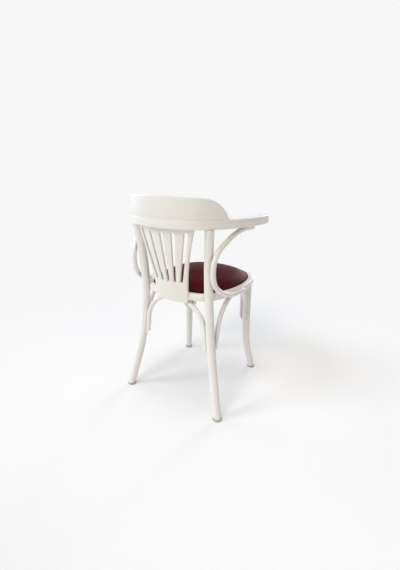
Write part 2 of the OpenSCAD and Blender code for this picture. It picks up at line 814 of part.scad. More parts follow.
// Each end is cut on a slant, longest where it lies against the leg
module arch_end_cut(at, way) {
    translate(at + arch_r * tan(arch_cut_angle) * [0, 0, 1])
        rotate([0, arch_cut_angle, atan2(way.y, way.x)])
            translate([-2 * arch_d, -arch_d, -4 * arch_d])
                cube([4 * arch_d, 2 * arch_d, 4 * arch_d]);
}

module above_ring_low() {
    translate([-seat_w, -seat_d, ring_low])
        cube([2 * seat_w, 2 * seat_d, arch_d]);
}

module rear_arch() {
    difference() {
        arch([rear_arch_end, rear_arch_corner, flip(rear_arch_corner), flip(rear_arch_end)], arch_bend);
        both_sides() {
            arch_end_cut(rear_arch_end, [1, 0]);
            rear_leg_rod(fit);
            rear_arch_screw(fit);
        }
        above_ring_low();
        arch_ring_screws(fit);
    }
}

module front_arch() {
    difference() {
        arch([front_arch_end, front_arch_corner, flip(front_arch_corner), flip(front_arch_end)], arch_bend);
        both_sides() {
            arch_end_cut(front_arch_end, [1, 0]);
            front_leg_rod(fit);
            front_arch_screw(fit);
        }
        above_ring_low();
        arch_ring_screws(fit);
    }
}

module side_arch() {
    difference() {
        arch([side_rear_end, side_rear_corner, side_front_corner, side_front_end], side_arch_bend);
        arch_end_cut(side_rear_end, [0, 1]);
        arch_end_cut(side_front_end, [0, -1]);
        rear_leg_rod(fit);
        front_leg_rod(fit);
        side_arch_rear_screw(fit);
        side_arch_front_screw(fit);
        above_ring_low();
        arch_ring_screws(fit);
    }
}

// Screws of the arches, one at each end and one at each top
screw_sink = screw_head_d * screw_head_d / (4 * arch_d);
arch_screw_l = arch_d + rear_leg_d / 4;

function arch_screw_at(end, corner, way) =
    end + (corner - end) * arch_d / arch_rise - (arch_r - screw_sink) * way;

module rear_arch_screw(gap) {
    screw(arch_screw_at(rear_arch_end, rear_arch_corner, [1, 0, 0]), [1, 0, 0], arch_screw_l, gap);
}

module front_arch_screw(gap) {
    screw(arch_screw_at(front_arch_end, front_arch_corner, [1, 0, 0]), [1, 0, 0], arch_screw_l, gap);
}

module side_arch_rear_screw(gap) {
    screw(arch_screw_at(side_rear_end, side_rear_corner, [0, 1, 0]), [0, 1, 0], arch_screw_l, gap);
}

module side_arch_front_screw(gap) {
    screw(arch_screw_at(side_front_end, side_front_corner, [0, -1, 0]), [0, -1, 0], arch_screw_l, gap);
}

module arch_leg_screws() {
    both_sides() {
        rear_arch_screw(0);
        front_arch_screw(0);
        side_arch_rear_screw(0);
        side_arch_front_screw(0);
    }
}

ring_screw_share = 0.4;

module arch_ring_screw(at, gap) {
    screw(at - (arch_r - screw_sink) * [0, 0, 1], [0, 0, 1], arch_d + ring_screw_share * ring_h, gap);
}

module arch_ring_screws(gap) {
    side_mid = (side_rear_corner + side_front_corner) / 2;
    arch_ring_screw([0, rear_arch_corner.y, arch_top_z], gap);
    arch_ring_screw([0, front_arch_corner.y, arch_top_z], gap);
    arch_ring_screw(side_mid, gap);
    arch_ring_screw(flip(side_mid), gap);
}

// Arm braces: bent rods from under the arms, past the rear legs, to the ring's sides
brace_r = brace_d / 2;
brace_high = rail_low - brace_r + flat;
brace_low = ring_mid + flat;
brace_ring_angle = 79;
brace_top_in = 26;
brace_foot_run = 25;
brace_heel_run = 76;
brace_front_share = 0.39;
brace_high_share = 0.665;
brace_low_share = 0.24;
brace_front_bend = 200;
brace_high_bend = 90;
brace_low_bend = 80;
brace_heel_bend = 150;
brace_bends = [brace_front_bend, brace_high_bend, brace_low_bend, brace_heel_bend];
brace_belly_way = unit([28.1, 19.7]);

brace_level = [brace_high_share, brace_low_share] * (rail_low - ring_mid) + [1, 1] * ring_mid;
brace_leg = rear_leg_at((brace_level[0] + brace_level[1]) / 2);
brace_belly = [brace_leg.x, brace_leg.y] + (rear_leg_d / 2 + brace_r + brace_gap) * brace_belly_way;
brace_top = [arm_span / 2 - brace_top_in - arm_tip / 3, -brace_top_y];
brace_front = brace_top + brace_front_share * (brace_belly - brace_top);
brace_seat = at_turn(ring_line, brace_ring_angle, brace_r - flat);
brace_heel = brace_seat - onward(brace_ring_angle) * brace_heel_run;
brace_foot = brace_seat + onward(brace_ring_angle) * brace_foot_run;
brace_path = [
    lift(brace_top, brace_high),
    lift(brace_front, brace_high),
    lift(brace_belly, brace_level[0]),
    lift(brace_belly, brace_level[1]),
    lift(brace_heel, brace_low),
    lift(brace_foot, brace_low)
];

module arm_brace() {
    difference() {
        bent_rod(brace_path, brace_bends, brace_d, brace_d, brace_d);
        translate([0, -arm_span, rail_low])
            cube([arm_span, 2 * arm_span, brace_d]);
        translate(lift(arc_centre(ring_line, 2), ring_low - ring_h))
            cylinder(h = 3 * ring_h, r = ring_side_r, $fn = 360);
        rear_leg_rod(fit);
        brace_top_screw(fit);
        brace_low_screw(fit);
    }
}

brace_top_screw_share = 0.6;
brace_low_screw_share = 0.3;

module brace_top_screw(gap) {
    at = brace_top + unit(brace_front - brace_top) * brace_d;
    length = brace_d + brace_top_screw_share * rail_h;
    screw(lift(at, brace_high - brace_r + screw_sink), [0, 0, 1], length, gap);
}

module brace_low_screw(gap) {
    way = outward(brace_ring_angle);
    at = brace_seat + (brace_r - screw_sink) * way;
    screw(lift(at, brace_low), lift(-way, 0), brace_d + brace_low_screw_share * ring_w, gap);
}

paint = [0.91, 0.89, 0.86];
leather = [0.33, 0.12, 0.15];
piping = [0.20, 0.08, 0.10];
plywood = [0.76, 0.63, 0.46];
beech = [0.80, 0.67, 0.48];
steel = [0.62, 0.62, 0.64];
plastic = [0.42, 0.39, 0.36];

color(paint)
        seat_ring();

color(plywood)
        seat_board();

color(piping)
        seat_piping();

color(leather)
        seat_cushion();

color(paint)
        arm_rail();

color(paint)
        crest_rail();

color(beech)
        crest_dowels(0);

color(paint)
        back_splat();

color(beech)
        splat_dowels(0);

color(paint)  // left_rear_leg
        rear_leg();

color(paint)  // right_rear_leg
        mirror([1, 0, 0])
            rear_leg();

color(paint)  // left_front_leg
        front_leg();

color(paint)  // right_front_leg
        mirror([1, 0, 0])
            front_leg();

color(paint)
        rear_arch();

color(paint)
        front_arch();

color(paint)  // left_arch
        side_arch();

color(paint)  // right_arch
        mirror([1, 0, 0])
            side_arch();

color(paint)  // left_arm_brace
        arm_brace();

color(paint)  // right_arm_brace
        mirror([1, 0, 0])
            arm_brace();

color(steel)  // leg_bolts
        both_sides()
            leg_bolt(0);

color(steel)  // board_screws
        both_sides()
            board_screws_half(0);

color(steel)
        arch_leg_screws();

color(steel)
        arch_ring_screws(0);

color(steel)  // brace_screws
        both_sides() {
            brace_top_screw(0);
            brace_low_screw(0);
        }

color(plastic)  // rear_glides
        both_sides()
            glide(rear_glide);

color(plastic)  // front_glides
        both_sides()
            glide(front_glide);
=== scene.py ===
import math

import bmesh
import bpy
from mathutils import Matrix, Vector, noise


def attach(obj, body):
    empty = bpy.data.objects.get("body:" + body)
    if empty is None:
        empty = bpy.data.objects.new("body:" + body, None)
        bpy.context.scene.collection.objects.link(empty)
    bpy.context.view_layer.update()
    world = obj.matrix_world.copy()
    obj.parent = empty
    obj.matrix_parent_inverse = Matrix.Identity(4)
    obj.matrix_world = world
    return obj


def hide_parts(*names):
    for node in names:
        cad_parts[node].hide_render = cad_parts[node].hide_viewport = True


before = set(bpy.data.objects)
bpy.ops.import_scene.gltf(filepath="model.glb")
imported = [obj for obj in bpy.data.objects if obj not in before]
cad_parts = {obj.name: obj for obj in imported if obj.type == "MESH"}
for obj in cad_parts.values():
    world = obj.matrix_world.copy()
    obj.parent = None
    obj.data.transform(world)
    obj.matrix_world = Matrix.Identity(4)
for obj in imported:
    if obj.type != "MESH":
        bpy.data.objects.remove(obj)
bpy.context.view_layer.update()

# Seat ring: one length of beech bent into a ring, rounded along its outer edges, with a step cut
# inside for the seat board. It is sprayed off-white after the legs and the splat are let into it.
mm = 0.001
seat_h = 451 * mm
ring_h = 23 * mm
ring_w = 44 * mm
ring_low = seat_h - ring_h
ring_mid = seat_h - ring_h / 2
ring_show = 21 * mm
rebate_d = 9 * mm


def outward(turn):
    """The outline's normal, after it has turned clockwise from the middle of the back."""
    return Vector((math.sin(math.radians(turn)), math.cos(math.radians(turn)), 0))


def bent_line(radii_mm, turns, back_mm):
    """An outline of tangent arcs from the middle of the back: (radius, from, to, centre) of each."""
    centre = Vector((0, (back_mm - radii_mm[0]) * mm, 0))
    arcs = []
    for i, radius in enumerate(radii_mm):
        if i:
            centre = centre + (radii_mm[i - 1] - radius) * mm * outward(turns[i])
        arcs.append((radius * mm, turns[i], turns[i + 1], centre))
    return arcs


def place(line, turn, out=0.0):
    """The place on an outline where its normal has turned so far, moved out along that normal."""
    for radius, start, end, centre in line:
        if turn <= end or end == line[-1][2]:
            return centre + (radius + out) * outward(turn)


def round_corners(corners, steps=4):
    """Points of a flat outline whose corners (x, z, radius) are rounded."""
    points = []
    for i, (x, z, radius) in enumerate(corners):
        here = Vector((x, z))
        back = Vector(corners[i - 1][:2]) - here
        ahead = Vector(corners[(i + 1) % len(corners)][:2]) - here
        if not radius:
            points.append(here)
            continue
        back.normalize()
        ahead.normalize()
        half = back.angle(ahead) / 2
        middle = here + (back + ahead).normalized() * radius / math.sin(half)
        first = here + back * radius / math.tan(half) - middle
        last = here + ahead * radius / math.tan(half) - middle
        turn = first.angle_signed(last)
        for k in range(steps + 1):
            a = -turn * k / steps
            points.append(middle + Matrix.Rotation(a, 2) @ first)
    return points


def closed_loop(bm, points):
    """A closed loop of new vertices and edges through the points."""
    ring = [bm.verts.new(p) for p in points]
    for a, b in zip(ring, ring[1:] + ring[:1]):
        bm.edges.new((a, b))
    return ring


def draw_out(bm, ring, moves):
    """Draws a closed loop of vertices out by each move in turn and gives the loops it passed."""
    rings = [ring]
    for move in moves:
        edges = [bm.edges.get((a, b)) for a, b in zip(ring, ring[1:] + ring[:1])]
        made = bmesh.ops.extrude_edge_only(bm, edges=edges)["geom"]
        fresh = {v for v in made if isinstance(v, bmesh.types.BMVert)}
        ring = [next(e.other_vert(v) for e in v.link_edges if e.other_vert(v) in fresh) for v in ring]
        bmesh.ops.transform(bm, matrix=move, verts=ring)
        rings.append(ring)
    return rings


def turns_of(line, step):
    """Equal small turns that together follow the outline, with the centre of each."""
    turns = []
    for radius, start, end, centre in line:
        count = max(1, round((end - start) / step))
        turns += [(centre, (end - start) / count)] * count
    return turns


def turn_about(centre, angle, axis):
    """The move that turns by an angle about an axis through a centre."""
    return Matrix.Translation(centre) @ Matrix.Rotation(angle, 4, axis) @ Matrix.Translation(-centre)


def swing(centre, turn):
    """The move that swings clockwise, seen from above, by a turn in degrees."""
    return turn_about(centre, -math.radians(turn), "Z")


def run_lengths(points):
    """How far along the wood each point lies from the first one."""
    lengths = [0.0]
    for a, b in zip(points, points[1:]):
        lengths.append(lengths[-1] + (b - a).length)
    return lengths


def lay_grain(bm, rings, lengths, around):
    """Gives the drawn-out faces a map in metres: along the wood, and round its section."""
    layer = bm.loops.layers.uv.new("grain")
    spot = {v: (i, j) for i, ring in enumerate(rings) for j, v in enumerate(ring)}
    count = len(rings[0])
    for face in bm.faces:
        spots = [spot.get(loop.vert) for loop in face.loops]
        if None in spots:
            continue
        columns = [j for _, j in spots]
        wraps = max(columns) - min(columns) > 1
        for loop, (i, j) in zip(face.loops, spots):
            j = j + count if wraps and j == 0 else j
            loop[layer].uv = (lengths[i], around * j / count)


def mirror_half(bm):
    """Adds the mirror image across the middle of the chair and welds the two halves there."""
    for v in bm.verts:
        if abs(v.co.x) < 0.2 * mm:
            v.co.x = 0
    bmesh.ops.mirror(bm, geom=bm.verts[:] + bm.edges[:] + bm.faces[:], merge_dist=1e-5, axis="X")
    bmesh.ops.remove_doubles(bm, verts=bm.verts[:], dist=1e-5)


def keep(name, bm, material, node, sharp_from=35):
    """Makes a finished piece of the mesh, which stands for a node and rides on the chair."""
    bmesh.ops.recalc_face_normals(bm, faces=bm.faces[:])
    mesh = bpy.data.meshes.new(name)
    bm.to_mesh(mesh)
    bm.free()
    mesh.shade_smooth()
    mesh.set_sharp_from_angle(angle=math.radians(sharp_from))
    mesh.materials.append(material)
    piece = bpy.data.objects.new(name, mesh)
    bpy.context.scene.collection.objects.link(piece)
    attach(piece, "root")
    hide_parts(node)
    return piece


def set_inputs(tree, node, inputs):
    """Gives a node's inputs a value each, or links them to the output given in its place."""
    for key, value in inputs.items():
        if isinstance(value, bpy.types.NodeSocket):
            tree.links.new(value, node.inputs[key])
        else:
            node.inputs[key].default_value = value


def add_node(tree, kind, inputs, **settings):
    """Adds a node of a kind, sets it as the keywords say, and then gives its inputs."""
    node = tree.nodes.new(kind)
    for key, value in settings.items():
        setattr(node, key, value)
    set_inputs(tree, node, inputs)
    return node


def body_map(tree):
    """Places in the piece itself, in metres."""
    return add_node(tree, "ShaderNodeTexCoord", {}).outputs["Object"]


def cloudy(tree, where, scale, detail, rough=0.5, warp=0.0):
    """Cloudy noise from 0 to 1."""
    inputs = {"Vector": where, "Scale": scale, "Detail": detail, "Roughness": rough, "Distortion": warp}
    return add_node(tree, "ShaderNodeTexNoise", inputs).outputs["Fac"]


def ramp(tree, value, start, goal, soft=False):
    """Takes a value from one range to another, evenly or with soft ends."""
    inputs = {"Value": value}
    inputs |= {"From Min": start[0], "From Max": start[1], "To Min": goal[0], "To Max": goal[1]}
    kind = "SMOOTHSTEP" if soft else "LINEAR"
    return add_node(tree, "ShaderNodeMapRange", inputs, interpolation_type=kind).outputs["Result"]


def mixed(tree, share, first, second, way="MIX"):
    """The first colour, mixed with the second or multiplied by it as far as the share says."""
    inputs = {"Factor": share, "A": first, "B": second}
    return add_node(tree, "ShaderNodeMix", inputs, data_type="RGBA", blend_type=way).outputs["Result"]


def bumped(tree, height, strength, distance, under=None):
    """The normals of a relief, laid over another relief if one is given."""
    inputs = {"Height": height, "Strength": strength, "Distance": distance}
    if under:
        inputs["Normal"] = under
    return add_node(tree, "ShaderNodeBump", inputs).outputs["Normal"]


def start_material(name):
    material = bpy.data.materials.new(name)
    material.use_nodes = True
    return material, material.node_tree


def surface(tree, inputs):
    """Gives the inputs of the material's own shader."""
    set_inputs(tree, tree.nodes["Principled BSDF"], inputs)


def painted(name, mapped=True):
    """Satin off-white paint on beech: the grain shows through faintly; corners get painted shade and
    some grime.
    """
    material, tree = start_material(name)
    body = body_map(tree)
    where = add_node(tree, "ShaderNodeUVMap", {}, uv_map="grain").outputs["UV"] if mapped else body
    along = add_node(tree, "ShaderNodeMapping", {"Vector": where, "Scale": (9, 420, 420)})
    grain = cloudy(tree, along.outputs["Vector"], 1.0, 5.0, 0.6)
    smooth = ramp(tree, grain, (0.30, 0.55), (0, 1), soft=True)
    pores = ramp(tree, grain, (0.30, 0.55), (1, 0), soft=True)
    clouds = cloudy(tree, body, 7.0, 3.0, 0.55)
    tint = mixed(tree, clouds, (0.805, 0.767, 0.712, 1), (0.858, 0.826, 0.784, 1))
    grained = mixed(tree, pores, tint, (0.955, 0.945, 0.925, 1), "MULTIPLY")
    # Ambient occlusion darkens the paint in corners, joints and under overhangs: painted shade, with a
    # little grime.
    corner = add_node(tree, "ShaderNodeAmbientOcclusion", {"Distance": 24 * mm}, samples=8)
    painted_shade_and_grime = ramp(tree, corner.outputs["AO"], (0.10, 0.80), (0.75, 0.0))
    brushed = cloudy(tree, body, 22.0, 2.0)
    surface(tree, {
        "Base Color": mixed(tree, painted_shade_and_grime, grained, (0.55, 0.50, 0.46, 1), "MULTIPLY"),
        "Roughness": ramp(tree, cloudy(tree, body, 28.0, 4.0), (0, 1), (0.34, 0.52)),
        "Specular IOR Level": 0.45,
        "Normal": bumped(tree, brushed, 0.25, 0.8 * mm, bumped(tree, smooth, 0.22, 0.12 * mm)),
    })
    return material


paint = painted("off_white_paint")

ring_line = bent_line([441.5, 99.4, 332.6, 160.3, 234.2], [0, 11, 61.2, 103.4, 157.3, 180], 172.5)
ring_corners = [
    (0, ring_low, 5 * mm),
    (0, seat_h, 5 * mm),
    (-ring_show, seat_h, 1.2 * mm),
    (-ring_show, seat_h - rebate_d, 0),
    (-ring_w, seat_h - rebate_d, 0.8 * mm),
    (-ring_w, ring_low, 3 * mm),
]
bm = bmesh.new()
back = place(ring_line, 0)
loop = closed_loop(bm, [(0, back.y + p.x, p.y) for p in round_corners(ring_corners)])
rings = draw_out(bm, loop, [swing(centre, turn) for centre, turn in turns_of(ring_line, 3)])
lay_grain(bm, rings, run_lengths([ring[0].co for ring in rings]), 140 * mm)
mirror_half(bm)
keep("seat_ring_painted", bm, paint, "seat_ring")


# Front legs: turned from beech, thickest under the seat, steam-bent outward near the floor.
# Each has a round tenon glued up into the ring, and stands on a glide.
rail_low = 680 * mm
glide_h = 6 * mm
front_bend = 500 * mm
front_leg_top = place(ring_line, 125.3, -18.5 * mm)
front_leg_top.z = ring_low
front_foot = Vector((173 * mm, -208.5 * mm, 0))
front_knee = front_leg_top + 0.22 * (front_foot - front_leg_top)
front_knee.z = 138 * mm


def rod_moves(corners, bends):
    """The moves that draw a round section along straight lengths with a round bend at each corner."""
    longest = 18 * mm
    moves = []
    at = corners[0]
    for i in range(1, len(corners)):
        way = (corners[i] - corners[i - 1]).normalized()
        end = corners[i]
        if i < len(corners) - 1:
            onward = (corners[i + 1] - corners[i]).normalized()
            turn = way.angle(onward)
            end = corners[i] - way * bends[i - 1] * math.tan(turn / 2)
        run = end - at
        count = max(1, round(run.length / longest))
        moves += [Matrix.Translation(run / count)] * count
        if i < len(corners) - 1:
            side = (onward - way.dot(onward) * way).normalized()
            centre = end + side * bends[i - 1]
            count = max(4, round(math.degrees(turn) / 3))
            moves += [turn_about(centre, turn / count, way.cross(side))] * count
            at = corners[i] + onward * bends[i - 1] * math.tan(turn / 2)
    return moves


def cap(bm, ring):
    """Closes the end of a drawn-out piece with one face."""
    return bmesh.ops.contextual_create(bm, geom=ring)["faces"]


def bent_rod(corners, bends, thickness, sides=28):
    """A round rod along the corners; thickness gives its diameter by the share of its length."""
    bm = bmesh.new()
    way = (corners[1] - corners[0]).to_track_quat("Z", "Y").to_matrix().to_4x4()
    start = Matrix.Translation(corners[0]) @ way
    made = bmesh.ops.create_circle(bm, segments=sides, radius=1, matrix=start)
    rings = draw_out(bm, made["verts"], rod_moves(corners, bends))
    middles = [sum((v.co for v in ring), Vector()) / sides for ring in rings]
    lengths = run_lengths(middles)
    for ring, middle, length in zip(rings, middles, lengths):
        radius = thickness(length / lengths[-1]) / 2
        for v in ring:
            v.co = middle + (v.co - middle) * radius
    lay_grain(bm, rings, lengths, math.pi * thickness(0.5))
    cap(bm, rings[0])
    cap(bm, rings[-1])
    return bm


def round_over(bm, edges, radius, segments):
    """Rounds edges over, as a sander or a router does."""
    bmesh.ops.bevel(
        bm, geom=edges, offset=radius, segments=segments, profile=0.5, affect="EDGES", material=-1
    )


def saw(bm, at, way, ease=0.6 * mm, reach=1.0):
    """Saws the piece off near a place, throws away what lies ahead, and eases the new edge."""
    near = {v for v in bm.verts if (v.co - Vector(at)).length < reach}
    geom = list(near)
    geom += [e for e in bm.edges if near.issuperset(e.verts)]
    geom += [f for f in bm.faces if near.issuperset(f.verts)]
    cut = bmesh.ops.bisect_plane(bm, geom=geom, plane_co=at, plane_no=way, clear_outer=True)["geom_cut"]
    edges = [e for e in cut if isinstance(e, bmesh.types.BMEdge)]
    bmesh.ops.contextual_create(bm, geom=edges)
    if ease:
        round_over(bm, edges, ease, 2)


def both_sides(name, make):
    """Makes a piece for the sitter's left and its mirror image for the right."""
    for side in ("left", "right"):
        bm = make()
        if side == "right":
            bmesh.ops.scale(bm, vec=(-1, 1, 1), verts=bm.verts[:])
        keep(f"{side}_{name}_painted", bm, paint, f"{side}_{name}")


def between(share, *steps):
    """A value that runs through (share, value) steps along a rod, with soft changes."""
    for (a, low), (b, high) in zip(steps, steps[1:]):
        if share <= b:
            k = (share - a) / (b - a)
            return low + (high - low) * k * k * (3 - 2 * k)
    return steps[-1][1]


def front_thickness(share):
    return between(share, (0, 28 * mm), (0.3, 29.5 * mm), (0.62, 33 * mm), (1, 36 * mm))


def front_leg():
    over = Vector((0, 0, 4 * mm))
    bm = bent_rod([front_foot, front_knee, front_leg_top + over], [front_bend], front_thickness)
    saw(bm, (0, 0, glide_h), (0, 0, -1), 1.2 * mm)
    saw(bm, (0, 0, ring_low), (0, 0, 1), 0)
    return bm


both_sides("front_leg", front_leg)


# Arm rail: one length of beech bent round the back and forward as two flat arms, about square at
# the back and widest at the arms, with blunt rounded ends. Its long edges are rounded over, but the
# outer top one stays nearly square under the crest, so that only a fine seam shows there.
arm_h = 710 * mm
rail_turns = [0, 19.2, 49.8, 93.7]
rail_line = bent_line([259.6, 162.7, 373.1], rail_turns, 251.5)
rail_w = 30 * mm
arm_w = 43 * mm
arm_tip = 13 * mm
tip_steps = 6
rail_corners = [
    (0, rail_low, 5 * mm),
    (0, arm_h, 3 * mm),
    (-rail_w, arm_h, 4.5 * mm),
    (-rail_w, rail_low, 5 * mm),
]
outer_top = slice(6, 12)


def rail_width(turn):
    return between(turn, (0, rail_w), (rail_turns[1], rail_w), (rail_turns[3], arm_w))


def squareness(turn):
    """How nearly square the outer top edge is: 0 is fully rounded, beyond the crest."""
    return between(turn, (0, 0.8), (57, 0.8), (64, 0))


def shape_rail(rings, turns, ahead):
    """Squares the edge under the crest, widens the section toward the arm, and rounds the arm's tip."""
    turn = 0.0
    for i, ring in enumerate(rings):
        normal = outward(turn)
        edge = max(v.co.dot(normal) for v in ring)
        for v in ring[outer_top]:
            v.co += normal * (edge - v.co.dot(normal)) * squareness(turn)
            v.co.z += (arm_h - v.co.z) * squareness(turn)
        share = max(0, i - len(turns)) / tip_steps
        pull = arm_tip * (1 - math.sqrt(1 - share * share)) * 0.8
        slip = arm_tip * (math.sin(math.pi / 2 * share) - share)
        for v in ring:
            into = (edge - v.co.dot(normal)) * (rail_width(turn) - 2 * pull) / rail_w
            v.co += normal * (edge - pull - into - v.co.dot(normal)) + ahead * slip
        if i < len(turns):
            turn += turns[i][1]


bm = bmesh.new()
back = place(rail_line, 0)
loop = closed_loop(bm, [(0, back.y + p.x, p.y) for p in round_corners(rail_corners, 5)])
turns = turns_of(rail_line, 2.2)
ahead = Vector((math.cos(math.radians(rail_turns[3])), -math.sin(math.radians(rail_turns[3])), 0))
moves = [swing(centre, turn) for centre, turn in turns]
moves += [Matrix.Translation(ahead * arm_tip / tip_steps)] * tip_steps
rings = draw_out(bm, loop, moves)
shape_rail(rings, turns, ahead)
lay_grain(bm, rings, run_lengths([ring[0].co for ring in rings]), 130 * mm)
end = cap(bm, rings[-1])
round_over(bm, list(end[0].edges), 2.5 * mm, 3)
mirror_half(bm)
keep("arm_rail_painted", bm, paint, "arm_rail", 50)


# Rear legs: one long rod each, bent just under the seat, from the floor past the ring, where a bolt
# holds it, and on up to a tenon in the rail's underside.
rear_foot = Vector((206 * mm, 186.5 * mm, 0))
rear_knee = place(ring_line, 40.6, -19.5 * mm)
rear_knee.z = seat_h - 56 * mm
rear_top = place(rail_line, 50.5, -15 * mm)
rear_top.z = rail_low
rear_turn = (rear_knee - rear_foot).angle(rear_top - rear_knee)
rear_bend = 0.9 * (rear_top - rear_knee).length / math.tan(rear_turn / 2)


def rear_thickness(share):
    return between(share, (0, 29 * mm), (0.2, 31 * mm), (1, 31 * mm))


def rear_leg():
    over = (rear_top - rear_knee).normalized() * 12 * mm
    bm = bent_rod([rear_foot, rear_knee, rear_top + over], [rear_bend], rear_thickness)
    saw(bm, (0, 0, glide_h), (0, 0, -1), 1.2 * mm)
    saw(bm, (0, 0, rail_low), (0, 0, 1), 0)
    return bm


both_sides("rear_leg", rear_leg)


# Arches: four bent rods under the seat. Each is screwed to two legs, where its ends are cut on a
# slant, and up into the ring at its crown, where it is planed a little flat.
arch_d = 17.5 * mm
arch_r = arch_d / 2
arch_foot = 242 * mm
flat = 2 * mm
arch_top = ring_low - arch_r + flat / 2
arch_rise = arch_top - arch_foot
arch_slant = math.radians(35)
arch_bend = 113 * mm
side_arch_bend = 118 * mm
arch_lean = 0.11 * arch_rise
side_arch_lean = 0.21 * arch_rise
rear_leg_r = 15.5 * mm
front_leg_r = 15.9 * mm
rear_reach = rear_leg_r + arch_r - flat
front_reach = front_leg_r + arch_r - flat


def leg_at(foot, knee, top, bend, z):
    """The middle of a bent leg at a height."""
    way = (knee - foot).normalized()
    onward = (top - knee).normalized()
    turn = way.angle(onward)
    run = bend * math.tan(turn / 2)
    side = (onward - way.dot(onward) * way).normalized()
    points = [foot]
    for k in range(21):
        a = turn * k / 20
        points.append(knee - way * run + bend * ((1 - math.cos(a)) * side + math.sin(a) * way))
    points.append(top)
    for a, b in zip(points, points[1:]):
        if a.z <= z <= b.z:
            return a.lerp(b, (z - a.z) / (b.z - a.z))


def plane_flat(bm, z):
    """Planes away what stands above a height, where the rod lies against the piece over it."""
    geom = bm.verts[:] + bm.edges[:] + bm.faces[:]
    cut = bmesh.ops.bisect_plane(bm, geom=geom, plane_co=(0, 0, z), plane_no=(0, 0, 1), clear_outer=True)
    edges = [e for e in cut["geom_cut"] if isinstance(e, bmesh.types.BMEdge)]
    bmesh.ops.holes_fill(bm, edges=edges, sides=0)


def arch(name, corners, bend, ways):
    """An arch along its corners, each end sawn on a slant that faces the way of its leg."""
    bm = bent_rod(corners, [bend, bend], lambda share: arch_d, 24)
    for end, way in zip((corners[0], corners[-1]), ways):
        tip = end + Vector((0, 0, arch_r * math.tan(arch_slant)))
        lean = Vector(way) * -math.sin(arch_slant) + Vector((0, 0, -math.cos(arch_slant)))
        saw(bm, tip, lean, reach=3 * arch_d)
    plane_flat(bm, ring_low)
    keep(f"{name}_painted", bm, paint, name)


def flip(p):
    return Vector((-p.x, p.y, p.z))


def cross_arch(name, end, y):
    """The arch between two legs of a pair, from its left end and the place of its crown."""
    corner = Vector((end.x - arch_lean, y, arch_top))
    arch(name, [end, corner, flip(corner), flip(end)], arch_bend, ((1, 0, 0), (-1, 0, 0)))


rear_spot = leg_at(rear_foot, rear_knee, rear_top, rear_bend, arch_foot)
front_spot = leg_at(front_foot, front_knee, front_leg_top, front_bend, arch_foot)
cross_arch("rear_arch", rear_spot + Vector((-rear_reach, 0, 0)), 152.5 * mm)
cross_arch("front_arch", front_spot + Vector((-front_reach, 0, 0)), -213.5 * mm)

side_x = place(ring_line, 86, -34 * mm).x
behind = rear_spot + Vector((0, -rear_reach, 0))
before = front_spot + Vector((0, front_reach, 0))
side_corners = [
    behind,
    Vector((side_x, behind.y - side_arch_lean, arch_top)),
    Vector((side_x, before.y + side_arch_lean, arch_top)),
    before,
]
ways = ((0, 1, 0), (0, -1, 0))
arch("left_arch", side_corners, side_arch_bend, ways)
arch("right_arch", [flip(p) for p in side_corners], side_arch_bend, ways)


# Back splat: a thin board bent across its width and sawn with hollow sides and five fanned slots.
# It stands in a groove under the rail and laps over the back of the ring, leaning back as it rises.
splat_t = 9 * mm
splat_bend = 243 * mm
splat_low = ring_low - 14 * mm
splat_foot_y = 180.5 * mm
splat_tilt = math.atan((234.5 * mm - splat_foot_y) / (rail_low - ring_mid))


def along_splat(z):
    return (z - ring_mid) / math.cos(splat_tilt)


splat_corner = 8 * mm
foot_half = 63.5 * mm
head_half = 112 * mm
side_r = 1090 * mm
slot_foot_gap = 25.02 * mm
slot_top_gap = 42.56 * mm
slot_foot_h = seat_h + 39 * mm
slot_top_h = rail_low - 15 * mm
foot_z = along_splat(splat_low)
head_z = along_splat(rail_low + 4 * mm)
chord = Vector((head_half - foot_half, along_splat(rail_low) - foot_z))
bulge = math.sqrt(side_r ** 2 - (chord.length / 2) ** 2)
square_on = Vector((chord.y, -chord.x)).normalized()
side_mid = Vector((foot_half, foot_z)) + chord / 2 + bulge * square_on


def splat_side(z):
    return side_mid.x - math.sqrt(side_r ** 2 - (z - side_mid.y) ** 2)


def slot_outline(k):
    """One slot, counted from the middle one: two round ends joined by tangent sides."""
    top_r, foot_r = 7 * mm, 4.75 * mm
    top = Vector((k * slot_top_gap, along_splat(slot_top_h) - top_r))
    foot = Vector((k * slot_foot_gap, along_splat(slot_foot_h) + foot_r))
    way = math.atan2(top.y - foot.y, top.x - foot.x)
    swing_out = math.acos((foot_r - top_r) / (top - foot).length)
    points = []
    for middle, radius, start, turn in (
        (top, top_r, way - swing_out, 2 * swing_out),
        (foot, foot_r, way + swing_out, 2 * math.pi - 2 * swing_out),
    ):
        for i in range(11):
            a = start + turn * i / 10
            points.append(middle + radius * Vector((math.cos(a), math.sin(a))))
    return points


def rim_edges(bm):
    """The sharp edges round the two faces of a flat board."""
    sharp = [e for e in bm.edges if e.is_manifold and e.calc_face_angle(0) > math.radians(60)]
    return [e for e in sharp if abs(e.verts[0].co.y - e.verts[1].co.y) < 0.1 * mm]


